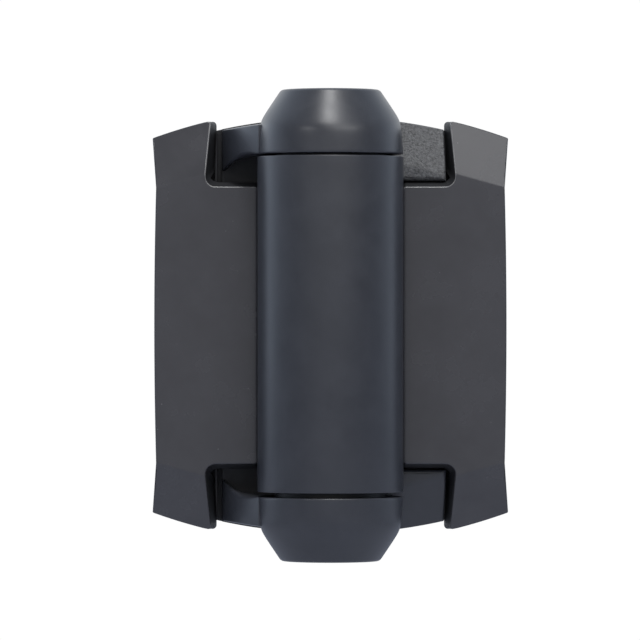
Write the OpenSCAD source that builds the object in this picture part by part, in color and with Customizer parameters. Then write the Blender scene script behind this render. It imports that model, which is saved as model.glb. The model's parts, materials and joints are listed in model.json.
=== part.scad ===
// Self-closing gate hinge for surface fixing, with a torsion spring in its barrel.
// The hinge axis is Z. The gate leaf lies at +X, the post leaf at -X, and both are
// screwed down on the plane at +Y. The gate is closed, so the leaves are in line.

/* [Overall] */
// Height of the hinge along its axis
height = 140; // [130:1:180]
// Width across both leaves at the tips of the ears
width = 106.4; // [104:0.2:124]
// Diameter of the barrel, which is also the depth of the hinge
barrel_d = 43.4; // [42.6:0.2:46]

/* [End knuckles] */
// Height of each end knuckle
end_h = 19.2; // [19:0.1:24]
// Gap above the barrel, which holds the upper washer
upper_gap = 0.7; // [0.5:0.05:1.5]
// Gap below the barrel, which holds the thrust washer
lower_gap = 1.4; // [1:0.1:3]
// Radius of the flat end face
face_r = 14.7; // [14.5:0.1:15.6]
// Distance of the end face's centre behind the hinge axis
face_back = 1.5; // [1:0.1:2]
// How much wider the end bevel gets for each millimetre down
bevel_slope = 0.68; // [0.6:0.01:0.8]
// How much wider a knuckle's side gets for each millimetre down
knuckle_draft = 0.08; // [0:0.01:0.1]
// Distance before the hinge axis at which an arm leaves the knuckle
arm_front = 3.5; // [0:0.5:6]
// How far an arm's front is drawn in between the knuckle and its foot
arm_hollow = 2.6; // [0:0.1:4]
// How far an arm's end stays back from the leaf's arched edge
arm_step = 0.2; // [0.1:0.05:1]
// How much further it stays back for each millimetre towards the front
arm_draft = 0.075; // [0.02:0.005:0.12]

/* [Leaves] */
// Distance of the base plate's front behind the hinge axis
plate_front = 17; // [16:0.1:18]
// Thickness of the thin flange round the base plate
flange_t = 1.3; // [1:0.1:2]
// Distance of a shoulder's front behind the hinge axis
shoulder_front = 11.5; // [10:0.1:13]
// Half height of a leaf between the barrel and the ears
shoulder_top = 62.4; // [60:0.1:66]
// Radius of the arched top and bottom edges there
shoulder_arc_r = 155; // [120:1:300]
// Distance of an arm's outer end from the hinge axis
arm_foot = 32.5; // [31.5:0.1:33]
// Distance of a leaf's inner edge from the hinge axis
leaf_inner = 12; // [11:0.5:14]
// Thickness of the ribs and the rim on the base plate
rib_t = 1.6; // [1.2:0.1:2.5]
// Depth of the hollows in the back
hollow_depth = 3; // [1:0.1:3.5]
// Width of the hollows behind the barrel's edge
edge_hollow_w = 7; // [4:0.5:9]
// Margin of plate between a hollow and a fixing hole or an edge
hollow_margin = 4; // [3:0.5:5]
// Distance of a shoulder's crease from its inner edge, at the barrel
shoulder_flat = 4.9; // [3:0.1:7]

/* [Fixing holes] */
// Diameter of a fixing hole
hole_d = 6.6; // [5:0.1:7]
// Distance of the inner holes from the hinge axis
inner_hole_x = 33; // [31:0.5:36]
// Spacing of the two inner holes along the axis
inner_hole_gap = 40; // [36:1:44]
// Distance of the outer holes from the hinge axis
outer_hole_x = 43.4; // [42:0.1:45]
// Spacing of the two outer holes along the axis
outer_hole_gap = 96; // [94:1:100]

/* [Covers] */
// Distance of a cover's front behind the hinge axis
cover_front = 8; // [7:0.1:9]
// Wall thickness of a cover
cover_wall = 2.2; // [1.6:0.1:2.6]
// Half height of a cover where its notches start
notch_z = 41.4; // [38:0.1:43]
// Distance of an ear's inner side from the hinge axis, at its foot
ear_foot = 35.1; // [34.6:0.1:36]
// Angle at which an ear's inner side leans towards the barrel
ear_slant = 2.6; // [0:0.1:3]
// Half height of an ear at its inner tip
ear_top = 61.1; // [59:0.1:64]
// Fall of an ear's end from its inner tip to its outer corner
ear_fall = 5.2; // [2:0.1:7]
// Half height of the crease where an ear bends back, at its outer end
crease_z = 41.1; // [38:0.1:44]
// Angle at which the creases climb towards the barrel
crease_angle = 15.3; // [5:0.1:20]
// Angle at which the ears bend back
ear_tilt = 16; // [5:0.5:18]
// How far the outer side draws in at the creases
waist_in = 1.15; // [0.2:0.05:2]
// How far the outer side draws in half way between them
middle_in = 0.6; // [0.1:0.05:1]
// Draft angle of an ear's inner side
ear_draft = 10.8; // [5:0.1:12]
// Draft angle of a notch's base
draft = 15.3; // [5:0.1:18]
// Depth of the short skirts along the barrel and the notches
skirt = 5; // [3:0.1:5.5]
// Diameter of a friction peg
peg_d = 4; // [3:0.1:4.6]

/* [Pin and bearings] */
// Diameter of the hinge pin
pin_d = 8; // [6:0.1:8.6]
// Size across the corners of the pin's hexagon head
pin_head_d = 13; // [11:0.5:14]
// Height of the pin's head
pin_head_h = 3; // [2:0.1:4]
// Height of the plug under the pin's head
plug_h = 2.9; // [2:0.1:4]
// Wall thickness of a bush
bush_wall = 2; // [1.5:0.1:2.3]
// Thickness of a bush's flange
bush_flange = 1.4; // [1:0.1:2]
// How far the plug under the pin's head reaches beyond the head
plug_margin = 1.5; // [1:0.1:2]
// How far the pin reaches into the adjuster's stem
pin_in_stem = 19; // [12:0.5:20]
// Chamfer on the pin's upper end
pin_chamfer = 0.8; // [0.4:0.1:1.2]
// Outer diameter of the two washers
washer_d = 33; // [28:0.5:36]

/* [Spring] */
// Diameter of the spring's wire
wire_d = 3.4; // [2.8:0.1:3.6]
// Diameter of a coil at the middle of the wire
coil_d = 27.2; // [26:0.1:28]
// Number of turns
spring_turns = 16; // [10:1:16]
// Diameter of the chamber in the barrel
chamber_d = 33.6; // [32.6:0.1:35]
// Thickness of the barrel's upper wall
head_wall = 8; // [6:0.1:9]
// Thickness of the anchor's disc
anchor_h = 7; // [5:0.1:8]
// Height of the anchor's hub above its disc
hub_h = 8; // [6:0.1:10]
// Diameter of the anchor's hub
hub_d = 19; // [17:0.1:20]

/* [Adjuster] */
// Diameter of the adjuster's stem
stem_d = 13.2; // [12.6:0.1:14]
// How far the stem reaches below the barrel's upper wall
stem_reach = 9; // [8:0.1:12]
// Diameter of the dial
dial_d = 15; // [14:0.1:15.2]
// Travel of the dial when it is pressed to free its splines
press_travel = 4; // [3.5:0.1:4.3]
// Height of the splines
spline_h = 3.4; // [3:0.1:3.5]
// Number of splines
spline_count = 12; // [8:1:14]
// Depth of a spline
spline_depth = 1.2; // [1:0.1:1.4]
// Width of a spline
spline_w = 2.2; // [1.6:0.1:2.4]
// Outer diameter of the splined ring and the collar
ring_d = 22.6; // [22:0.1:22.8]
// Wall of the splined ring outside its splines
ring_wall = 2; // [1.8:0.1:2.2]
// Height of the splined ring
ring_h = 5.4; // [5:0.1:6]
// Height of the collar
collar_h = 2; // [1.6:0.1:2.2]
// Length of the screwdriver slot
slot_l = 10; // [8:0.1:10.4]
// Width of the screwdriver slot
slot_w = 2.2; // [1.6:0.1:3]
// Depth of the screwdriver slot
slot_depth = 1.6; // [1:0.1:1.8]
// How far the dial lies below the end face
dial_recess = 0.8; // [0.4:0.1:1]
// Thickness of the rubber ring round the dial
seal_d = 1.5; // [1:0.1:1.6]
// Thickness of the knuckle's floor under the dial
knuckle_floor = 3.5; // [2.5:0.1:4]
// Depth of the retaining clip's groove
clip_groove = 0.6; // [0.4:0.05:0.7]
// Thickness of the retaining clip
clip_t = 1; // [0.8:0.1:1.1]

/* [Clearances] */
// Radial clearance of a running fit
run_fit = 0.05; // [0.02:0.01:0.1]
// Clearance between parts that are pressed or dropped in
seat_gap = 0.05; // [0.02:0.01:0.1]
// Clearance between parts that pass each other
pass_gap = 0.4; // [0.3:0.05:0.6]
// Play between the splines and their ring
spline_play = 0.2; // [0.1:0.05:0.3]
// Gap between a cover's skirt and the leaf under it
cover_seat = 0.3; // [0.2:0.05:0.4]

/* [Hidden] */
$fn = 96;
far = 60;
black_satin = "#3a3c40";
black_grained = "#46474a";
black_gloss = "#34353a";
acetal = "#e6e4dc";
steel = "#b9bcc0";
spring_steel = "#7d8084";
rubber = "#202022";

// Diameters across and between the splines
spline_d = ring_d - 2 * ring_wall;
spline_root_d = spline_d - 2 * spline_depth;

// Places along the hinge axis
top = height / 2;
knuckle_z = top - end_h;
barrel_top = knuckle_z - upper_gap;
barrel_bottom = -(knuckle_z - lower_gap);
chamber_top = barrel_top - head_wall;
anchor_top = barrel_bottom + anchor_h;
hub_top = anchor_top + hub_h;
stem_bottom = chamber_top - stem_reach;
clip_bottom = top - clip_t - 0.5;
collar_bottom = clip_bottom - seat_gap - collar_h;
ring_bottom = collar_bottom - ring_h;
drum_top = collar_bottom - spline_play / 2;
drum_bottom = drum_top - spline_h;
teeth_bottom = drum_bottom - spline_play / 2;
cavity_floor = knuckle_z + knuckle_floor;
head_bottom = -top + plug_h + 2 * seat_gap;
head_top = head_bottom + pin_head_h;
lower_tang_z = hub_top - wire_d / 2 - pass_gap;
upper_tang_z = stem_bottom + wire_d / 2 + pass_gap;

// Places across the leaves
back = barrel_d / 2;
barrel_r = barrel_d / 2;
reach = width / 2;
cover_inner = barrel_r + pass_gap;
cover_back = back - flange_t - cover_seat;
rim_inset = cover_wall + pass_gap;
shoulder_z = notch_z + skirt * tan(draft) + pass_gap;
web_side = barrel_r - 0.2;
crease_x = reach - waist_in;
ear_side = ear_foot - (ear_top - notch_z) * tan(ear_slant);
shoulder_side = ear_side - pass_gap;

// Covers' friction pegs, as distance from the axis and height
pegs = [[28.4, 33], [28.4, -33], [46, 18], [46, -18]];
peg_tip = plate_front - cover_seat;
boss_front = cover_front + skirt - cover_seat;

// Solid disc between two heights
module disc(r, z0, z1) {
    translate([0, 0, z0]) cylinder(r = r, h = z1 - z0);
}

// Ring between two heights
module ring(r_out, r_in, z0, z1) {
    difference() {
        disc(r_out, z0, z1);
        disc(r_in, z0 - 1, z1 + 1);
    }
}

// Outline in X and Z, drawn out from one depth to another
module slab(y0, y1) {
    translate([0, y1, 0]) rotate([90, 0, 0]) linear_extrude(y1 - y0) children();
}

// Round bar through the leaf between two depths
module bar(x, z, r, y0, y1) {
    translate([x, y1, z]) rotate([90, 0, 0]) cylinder(r = r, h = y1 - y0);
}

// The same shape at the upper and the lower end
module both_ends() {
    for (end = [0, 1]) {
        mirror([0, 0, end]) children();
    }
}

// Points of an outline moved inwards by d, where each corner stays on its two moved edges
function edge_normal(a, b) = [a[1] - b[1], b[0] - a[0]] / norm(b - a);
function moved_corner(a, b, c, d) =
    let (n = edge_normal(a, b), m = edge_normal(b, c))
    b + d * (n + m) / (1 + n * m);
function inset_points(p, d) =
    [for (i = [0 : len(p) - 1])
        moved_corner(p[(i + len(p) - 1) % len(p)], p[i], p[(i + 1) % len(p)], d)];

// Half height of the ear's end line at a distance from the axis
function ear_z(x) = ear_top - ear_fall * (x - ear_side) / (reach - ear_side);

// Outline of a cover with its ears, whose notches are cut later, and with its inner edge at x0
function cover_points(x0) = [
    [x0, -ear_z(x0)],
    [reach, -ear_z(reach)],
    [crease_x, -crease_z],
    [reach - middle_in - (waist_in - middle_in) / 4, -crease_z / 2],
    [reach - middle_in, 0],
    [reach - middle_in - (waist_in - middle_in) / 4, crease_z / 2],
    [crease_x, crease_z],
    [reach, ear_z(reach)],
    [x0, ear_z(x0)]
];

// Half height of the arched edge between the barrel and the ears
function arch_z(x) = shoulder_top - shoulder_arc_r + sqrt(pow(shoulder_arc_r, 2) - x * x);

// Outline of a leaf from its inner edge to the foot of the ears
function arch_points(x0, x1) = concat(
    [for (i = [0 : 6]) let (x = x0 + (x1 - x0) * i / 6) [x, -arch_z(x)]],
    [for (i = [6 : -1 : 0]) let (x = x0 + (x1 - x0) * i / 6) [x, arch_z(x)]]
);

// What lies before the plane in which an ear bends back, moved in by d
module ear_bend(d) {
    translate([crease_x, cover_front, crease_z])
        rotate([0, crease_angle, 0])
            rotate([-ear_tilt, 0, 0])
                translate([-far, -far + d, -far / 3]) cube([2 * far, far, 2 * far]);
}

// What lies on the barrel's side of an ear's inner side, which is moved out by d
module beside_ear(d, angle) {
    translate([ear_foot + d / cos(angle), cover_back, notch_z])
        rotate([0, -ear_slant, 0])
            rotate([0, 0, angle])
                translate([-far, -far, -far]) cube([far, 2 * far, 2 * far]);
}

// Notch between the barrel and an ear, made wider by d
module notch(d) {
    intersection() {
        beside_ear(d, ear_draft);
        translate([0, cover_front, notch_z - d / cos(draft)])
            rotate([draft, 0, 0])
                translate([0, -far, 0]) cube([far, 2 * far, 2 * far]);
    }
}

// A cover's outer form, with every face moved in by d
module cover_form(d) {
    difference() {
        slab(cover_front + d, cover_back + d) polygon(inset_points(cover_points(cover_inner), d));
        both_ends() ear_bend(d);
        both_ends() notch(d);
    }
}

// A cover at +X: a shell with deep sides round the ears and short skirts elsewhere
module cover() {
    difference() {
        cover_form(0);
        cover_form(cover_wall);
        translate([0, cover_front + skirt, -shoulder_z])
            cube([ear_foot + 2 * cover_wall, far, 2 * shoulder_z]);
        both_ends() intersection() {
            beside_ear(0, ear_draft);
            translate([0, cover_front + skirt, 0]) cube([reach, far, far]);
        }
    }
    for (p = pegs) {
        bar(p[0], p[1], peg_d / 2, cover_front + cover_wall - 0.5, peg_tip);
    }
}

// Slot in the leaf for the deep inner side of an ear
module ear_slot() {
    difference() {
        intersection() {
            beside_ear(cover_wall + pass_gap, ear_draft);
            translate([0, 0, shoulder_z - pass_gap]) cube([reach, cover_back + cover_seat, far]);
        }
        beside_ear(-pass_gap, 0);
    }
}

// Holes, hollows and sockets that both leaves have
module leaf_cuts() {
    for (s = [-1, 1]) {
        bar(inner_hole_x, s * inner_hole_gap / 2, hole_d / 2, 0, far);
        bar(outer_hole_x, s * outer_hole_gap / 2, hole_d / 2, 0, far);
    }
    for (p = pegs) {
        bar(p[0], p[1], peg_d / 2 + run_fit, 0, peg_tip + cover_seat);
    }
    hollow_back();
}

// One hollow in the back, with half a rib above and below it
module hollow(x0, x1, z, pitch) {
    translate([x0, back - hollow_depth, z + rib_t / 2]) cube([x1 - x0, far, pitch - rib_t]);
}

// Hollows in the back, between ribs
module hollow_back() {
    edge_x = leaf_inner + hollow_margin;
    middle_x = edge_x + edge_hollow_w + rib_t;
    outer_x = inner_hole_x + hole_d / 2 + hollow_margin;
    outer_end = reach - waist_in - rim_inset - hollow_margin;
    pitch = inner_hole_gap / 2 - hole_d / 2 - hollow_margin;
    rows = 3;
    for (i = [0 : rows - 1]) {
        hollow(middle_x, outer_x - rib_t, -pitch + i * 2 * pitch / rows, 2 * pitch / rows);
    }
    for (i = [-2 : 1]) {
        hollow(outer_x, outer_end, i * pitch, pitch);
    }
    for (i = [-3 : 2]) {
        hollow(edge_x, edge_x + edge_hollow_w, i * pitch, pitch);
    }
}

// Base plate at +X with its flange, rim, ribs and bosses
module leaf_plate() {
    slab(back - flange_t, back) polygon(cover_points(ear_side));
    slab(back - flange_t, back) polygon(arch_points(leaf_inner, ear_foot));
    difference() {
        union() {
            slab(plate_front, back) intersection() {
                polygon(inset_points(cover_points(cover_inner), rim_inset));
                translate([shoulder_side, -far * 2]) square([far, 4 * far]);
            }
            slab(plate_front, back) polygon(arch_points(leaf_inner, ear_foot));
        }
        both_ends() ear_slot();
    }
    // Strip under the cover's short skirt along the barrel
    translate([leaf_inner, cover_front + skirt + cover_seat, -notch_z])
        cube([cover_inner + 4 - leaf_inner, back - cover_front - skirt - cover_seat, 2 * notch_z]);
    // Rim just inside the cover's outer side
    intersection() {
        cover_form(rim_inset);
        difference() {
            slab(boss_front, back) translate([reach / 2, -far]) square([reach / 2, 2 * far]);
            slab(0, far) polygon(inset_points(cover_points(0), rim_inset + rib_t));
        }
    }
    // Bosses for the cover's pegs, and ribs that carry them
    for (p = pegs) {
        bar(p[0], p[1], peg_d / 2 + rib_t, boss_front, back);
    }
    for (z = [0, pegs[2][1], pegs[3][1]]) {
        translate([cover_inner + 3, boss_front + 1, z - rib_t / 2])
            cube([reach - middle_in - rim_inset - cover_inner - 3.3, plate_front - boss_front, rib_t]);
    }
}

// Shoulder at +X beside the end knuckle, in line with the cover
module shoulder() {
    crease = [cover_inner, shoulder_z + shoulder_flat];
    difference() {
        intersection() {
            slab(shoulder_front, back) polygon(arch_points(leaf_inner, ear_foot));
            translate([0, 0, shoulder_z]) cube([reach, far, far]);
            beside_ear(-pass_gap, 0);
        }
        translate([crease[0], shoulder_front, crease[1]])
            rotate([0, crease_angle, 0])
                rotate([-ear_tilt, 0, 0])
                    translate([-far, -far, 0]) cube([2 * far, far, 2 * far]);
    }
}

// Keys on the anchor, or with a gap the keyways for them
module anchor_keys(gap) {
    key_w = 5;
    key_d = 2;
    translate([-chamber_d / 2 - key_d - gap, -key_w / 2 - gap, barrel_bottom - gap])
        cube([chamber_d + 2 * (key_d + gap), key_w + 2 * gap, anchor_h + 2 * gap]);
}

// Gate leaf: base plate, shoulders and the barrel that turns between the end knuckles
module gate_leaf() {
    color(black_grained) difference() {
        union() {
            leaf_plate();
            both_ends() shoulder();
            disc(barrel_r, barrel_bottom, barrel_top);
            translate([leaf_inner / 2, cover_front, barrel_bottom])
                cube([web_side - leaf_inner / 2, back - cover_front, barrel_top - barrel_bottom]);
        }
        disc(barrel_r + pass_gap, barrel_top, far * 2);
        disc(barrel_r + pass_gap, -far * 2, barrel_bottom);
        disc(chamber_d / 2, barrel_bottom - 1, chamber_top);
        disc(stem_d / 2 + run_fit + bush_wall + seat_gap, chamber_top - 1, barrel_top + 1);
        disc(stem_d / 2 + 2 * bush_wall + seat_gap, barrel_top - bush_flange - seat_gap, barrel_top + 1);
        anchor_keys(seat_gap);
        leaf_cuts();
    }
}

// Solid end knuckle, with its inner face down and its bevelled end up
module knuckle_body() {
    intersection() {
        translate([0, 0, knuckle_z])
            cylinder(r1 = barrel_r, r2 = barrel_r - knuckle_draft * end_h, h = end_h);
        translate([0, face_back, knuckle_z])
            cylinder(r1 = face_r + bevel_slope * end_h, r2 = face_r, h = end_h);
    }
}

// Arm at +X, slightly hollow in plan, from the knuckle's widest part back to the base plate
module arm() {
    root = [sqrt(barrel_r * barrel_r - arm_front * arm_front) - seat_gap, -arm_front];
    foot = [arm_foot, plate_front];
    along = (foot - root) / norm(foot - root);
    pull = (root + foot) / 2 + arm_hollow * [-along[1], along[0]];
    sweep = [for (i = [0 : 8]) let (t = i / 8)
        (1 - t) * (1 - t) * foot + 2 * t * (1 - t) * pull + t * t * root];
    end_r = shoulder_arc_r - arm_step - arm_draft * back;
    intersection() {
        translate([0, 0, knuckle_z])
            linear_extrude(end_h) polygon(concat([[0, -arm_front], [0, back], [arm_foot, back]], sweep));
        translate([0, far, shoulder_top - shoulder_arc_r]) rotate([90, 0, 0])
            cylinder(r1 = end_r + arm_draft * far, r2 = end_r - arm_draft * far, h = 2 * far, $fn = 180);
    }
}

// Post leaf: base plate, arms and both end knuckles, which hold the pin and the adjuster
module post_leaf() {
    color(black_satin) difference() {
        union() {
            mirror([1, 0, 0]) leaf_plate();
            both_ends() mirror([1, 0, 0]) arm();
            both_ends() knuckle_body();
        }
        disc(barrel_r + pass_gap, -knuckle_z, knuckle_z);
        mirror([1, 0, 0]) leaf_cuts();
        // Upper knuckle, from the inner face up
        disc(stem_d / 2 + pass_gap, knuckle_z - 1, top);
        disc(spline_d / 2 + pass_gap, cavity_floor, top);
        disc(ring_d / 2 + seat_gap, ring_bottom, top + 1);
        ring_lugs(seat_gap);
        disc(ring_d / 2 + clip_groove, clip_bottom, clip_bottom + clip_t + 2 * seat_gap);
        // Lower knuckle, from the inner face down
        disc(pin_d / 2 + seat_gap / 2, -top, 1 - knuckle_z);
        translate([0, 0, -top])
            cylinder(d = pin_head_d + 4 * seat_gap, h = head_top + top + seat_gap, $fn = 6);
        disc(pin_head_d / 2 + plug_margin, -top - 1, -top + plug_h + seat_gap);
    }
}

module post_cover() {
    color(black_gloss) mirror([1, 0, 0]) cover();
}

module gate_cover() {
    color(black_gloss) cover();
}

// Steel pin, fixed in the lower knuckle by its hexagon head
module hinge_pin() {
    pin_top = stem_bottom + pin_in_stem;
    color(steel) union() {
        translate([0, 0, head_bottom]) cylinder(d = pin_head_d, h = pin_head_h, $fn = 6);
        disc(pin_d / 2, head_bottom, pin_top - pin_chamfer);
        translate([0, 0, pin_top - pin_chamfer])
            cylinder(r1 = pin_d / 2, r2 = pin_d / 2 - pin_chamfer, h = pin_chamfer);
    }
}

// Plug under the pin's head, with a slot to prise it out
module pin_plug() {
    color(black_satin) difference() {
        disc(pin_head_d / 2 + plug_margin - seat_gap, -top, -top + plug_h);
        translate([-slot_l / 4, -slot_w / 4, -top - 1]) cube([slot_l / 2, slot_w / 2, 2]);
    }
}

// Flanged bush on the pin, in the spring anchor
module lower_bush() {
    color(acetal) difference() {
        union() {
            disc(pin_d / 2 + run_fit + bush_wall, barrel_bottom, hub_top);
            disc(pin_d / 2 + run_fit + 2 * bush_wall, barrel_bottom, barrel_bottom + bush_flange);
        }
        disc(pin_d / 2 + run_fit, barrel_bottom - 1, hub_top + 1);
    }
}

// Flanged bush round the adjuster's stem, in the barrel's upper wall
module upper_bush() {
    color(acetal) difference() {
        union() {
            disc(stem_d / 2 + run_fit + bush_wall, chamber_top, barrel_top);
            disc(stem_d / 2 + 2 * bush_wall, barrel_top - bush_flange, barrel_top);
        }
        disc(stem_d / 2 + run_fit, chamber_top - 1, barrel_top + 1);
    }
}

// Washer that carries the barrel on the lower knuckle
module thrust_washer() {
    color(black_satin) ring(washer_d / 2, pin_d / 2 + pass_gap, -knuckle_z, barrel_bottom - seat_gap);
}

// Washer on the barrel, under the upper knuckle
module upper_washer() {
    color(black_satin) ring(washer_d / 2, stem_d / 2 + pass_gap, barrel_top, knuckle_z - 2 * seat_gap);
}

// Plug keyed in the barrel's lower end, whose slotted hub holds the spring's lower end
module spring_anchor() {
    tang_w = wire_d + pass_gap;
    color(black_satin) difference() {
        union() {
            disc(chamber_d / 2 - seat_gap, barrel_bottom, anchor_top);
            anchor_keys(0);
            disc(hub_d / 2, barrel_bottom, hub_top);
        }
        disc(pin_d / 2 + run_fit + bush_wall + seat_gap, barrel_bottom - 1, hub_top + 1);
        disc(pin_d / 2 + run_fit + 2 * bush_wall + seat_gap, barrel_bottom - 1,
             barrel_bottom + bush_flange + seat_gap);
        translate([0, -tang_w / 2, lower_tang_z - wire_d / 2 - seat_gap]) cube([hub_d, tang_w, far]);
    }
}

// Sleeve round the pin that keeps the spring straight
module spring_guide() {
    guide_top = stem_bottom - press_travel - pass_gap;
    color(acetal) ring(hub_d / 2, pin_d / 2 + pass_gap, hub_top + seat_gap, guide_top);
}

// Path of the spring: a straight end on a radius, a bend, the turns, and the same again
coil_r = coil_d / 2;
bend_r = 0.9 * wire_d;
bend_at = asin(bend_r / (coil_r - bend_r));
bend_foot = (coil_r - bend_r) * cos(bend_at);
tang_start = pin_d / 2 + run_fit + bush_wall + pass_gap;
rings_a_turn = 8;
coil_steps = spring_turns * rings_a_turn;
bend_steps = 5;
spring_rise = (upper_tang_z - lower_tang_z) / coil_steps;

// A point of the lower end in plan, which starts along +X and bends into the coil at angle bend_at
function bend_point(i) =
    let (turn = -90 + (90 + bend_at) * i / bend_steps)
    [bend_foot + bend_r * cos(turn), bend_r + bend_r * sin(turn)];
function turned(p, a) = [p[0] * cos(a) - p[1] * sin(a), p[0] * sin(a) + p[1] * cos(a)];
coil_points = [for (i = [1 : coil_steps])
    let (a = bend_at + 360 * i / rings_a_turn)
    [coil_r * cos(a), coil_r * sin(a), lower_tang_z + spring_rise * i]];
lower_end = concat([[tang_start, 0]], [for (i = [0 : bend_steps]) bend_point(i)]);
upper_end = [for (i = [len(lower_end) - 1 : -1 : 0])
    turned([lower_end[i][0], -lower_end[i][1]], 2 * bend_at)];
spring_path = concat(
    [for (p = lower_end) [p[0], p[1], lower_tang_z]],
    coil_points,
    [for (i = [1 : len(upper_end) - 1]) [upper_end[i][0], upper_end[i][1], upper_tang_z]]
);

// Rings of points round a path, each square to it, joined to one closed tube
function path_dir(p, i) =
    let (d = p[min(i + 1, len(p) - 1)] - p[max(i - 1, 0)]) d / norm(d);
function ring_points(p, i, r, n) =
    let (t = path_dir(p, i), s = cross(t, [0, 0, 1]) / norm(cross(t, [0, 0, 1])), u = cross(s, t))
    [for (k = [0 : n - 1]) p[i] + r * (cos(360 * k / n) * s + sin(360 * k / n) * u)];
module tube(p, r, n) {
    last = (len(p) - 1) * n;
    points = [for (i = [0 : len(p) - 1]) each ring_points(p, i, r, n)];
    sides = [for (i = [0 : len(p) - 2], k = [0 : n - 1])
        let (a = i * n + k, b = i * n + (k + 1) % n)
        each [[a, a + n, b + n], [a, b + n, b]]];
    start = [for (k = [1 : n - 2]) [0, k, k + 1]];
    end = [for (k = [1 : n - 2]) [last, last + k + 1, last + k]];
    polyhedron(points = points, faces = concat(sides, start, end));
}

// Least gap between the wire's surfaces on parts of the path that are over half a turn apart
spring_gap = min([for (i = [0 : len(spring_path) - 1], j = [0 : len(spring_path) - 1])
    if (j > i + rings_a_turn / 2) norm(spring_path[i] - spring_path[j])]) - wire_d;
echo(spring_gap = spring_gap);

module torsion_spring() {
    color(spring_steel) tube(spring_path, wire_d / 2, 6);
}

// Splined dial with a hollow stem over the pin and a slot for the spring's upper end
module tension_adjuster() {
    tang_w = wire_d + pass_gap;
    dial_top = top - dial_recess;
    groove_z = collar_bottom + collar_h / 2;
    groove_h = seal_d + 2 * seat_gap;
    color(black_satin) difference() {
        union() {
            disc(stem_d / 2, stem_bottom, drum_bottom + 1);
            disc(spline_root_d / 2, drum_bottom, drum_top);
            splines(spline_d / 2, spline_w, drum_bottom, drum_top);
            disc(dial_d / 2, drum_top, dial_top);
        }
        disc(pin_d / 2 + run_fit, stem_bottom - 1, stem_bottom + pin_in_stem + press_travel + pass_gap);
        rotate([0, 0, 2 * bend_at])
            translate([0, -tang_w / 2, stem_bottom - 1])
                cube([stem_d, tang_w, upper_tang_z + wire_d / 2 + seat_gap - stem_bottom + 1]);
        ring(dial_d, dial_d / 2 - seal_d, groove_z - groove_h / 2, groove_z + groove_h / 2);
        translate([-slot_l / 2, -slot_w / 2, dial_top - slot_depth]) cube([slot_l, slot_w, far]);
    }
}

// Ridges round a drum, or with a larger width the grooves that they lock in
module splines(r, w, z0, z1) {
    foot = (spline_root_d + stem_d) / 4;
    for (i = [0 : spline_count - 1]) {
        rotate([0, 0, i * 360 / spline_count])
            translate([foot, -w / 2, z0]) cube([r - foot, w, z1 - z0]);
    }
}

// Rubber ring in the dial's groove
module adjuster_seal() {
    color(rubber) translate([0, 0, collar_bottom + collar_h / 2])
        rotate_extrude() translate([dial_d / 2 - seal_d / 2 + seat_gap, 0]) circle(d = seal_d, $fn = 24);
}

// Two lugs that keep the splined ring from turning, or with a gap the grooves for them
module ring_lugs(gap) {
    lug_w = 4;
    lug_d = 1;
    translate([-ring_d / 2 - lug_d - gap, -lug_w / 2 - gap, ring_bottom - gap])
        cube([ring_d + 2 * (lug_d + gap), lug_w + 2 * gap, ring_h + 2 * gap]);
}

// Splined ring in the upper knuckle, open below its teeth so that the pressed dial can turn
module adjuster_ring() {
    color(steel) difference() {
        union() {
            disc(ring_d / 2, ring_bottom, collar_bottom);
            ring_lugs(0);
        }
        disc(spline_root_d / 2 + spline_play, ring_bottom - 1, collar_bottom + 1);
        disc(spline_d / 2 + spline_play, ring_bottom - 1, teeth_bottom);
        splines(spline_d / 2 + spline_play, spline_w + spline_play, ring_bottom, collar_bottom + 1);
    }
}

// Collar over the splines, in which the dial slides
module adjuster_collar() {
    color(black_satin) ring(ring_d / 2, dial_d / 2 + spline_play, collar_bottom, collar_bottom + collar_h);
}

// Open spring ring in a groove of the knuckle, over the collar
module retaining_clip() {
    clip_w = 1.6;
    clip_r = ring_d / 2 + clip_groove - seat_gap;
    color(steel) difference() {
        ring(clip_r, ring_d / 2 - clip_w, clip_bottom + seat_gap, clip_bottom + clip_t);
        translate([0, -clip_w, clip_bottom]) cube([ring_d, 2 * clip_w, 2 * clip_t]);
    }
}

post_leaf();
gate_leaf();
post_cover();
gate_cover();
hinge_pin();
pin_plug();
lower_bush();
upper_bush();
thrust_washer();
upper_washer();
torsion_spring();
spring_guide();
spring_anchor();
tension_adjuster();
adjuster_seal();
adjuster_ring();
adjuster_collar();
retaining_clip();
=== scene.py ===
# %% [markdown]
# # A self-closing gate hinge
#
# A black nylon hinge for a garden gate. A wound spring in the long middle barrel closes the
# gate, and two glossy covers push on over the screws. The solid parts come from a CAD model, in
# metres, and this lesson gives them the skin that a moulded part really has: small radii on
# every edge, the right gloss on every piece, and soft studio light to read them by.

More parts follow.
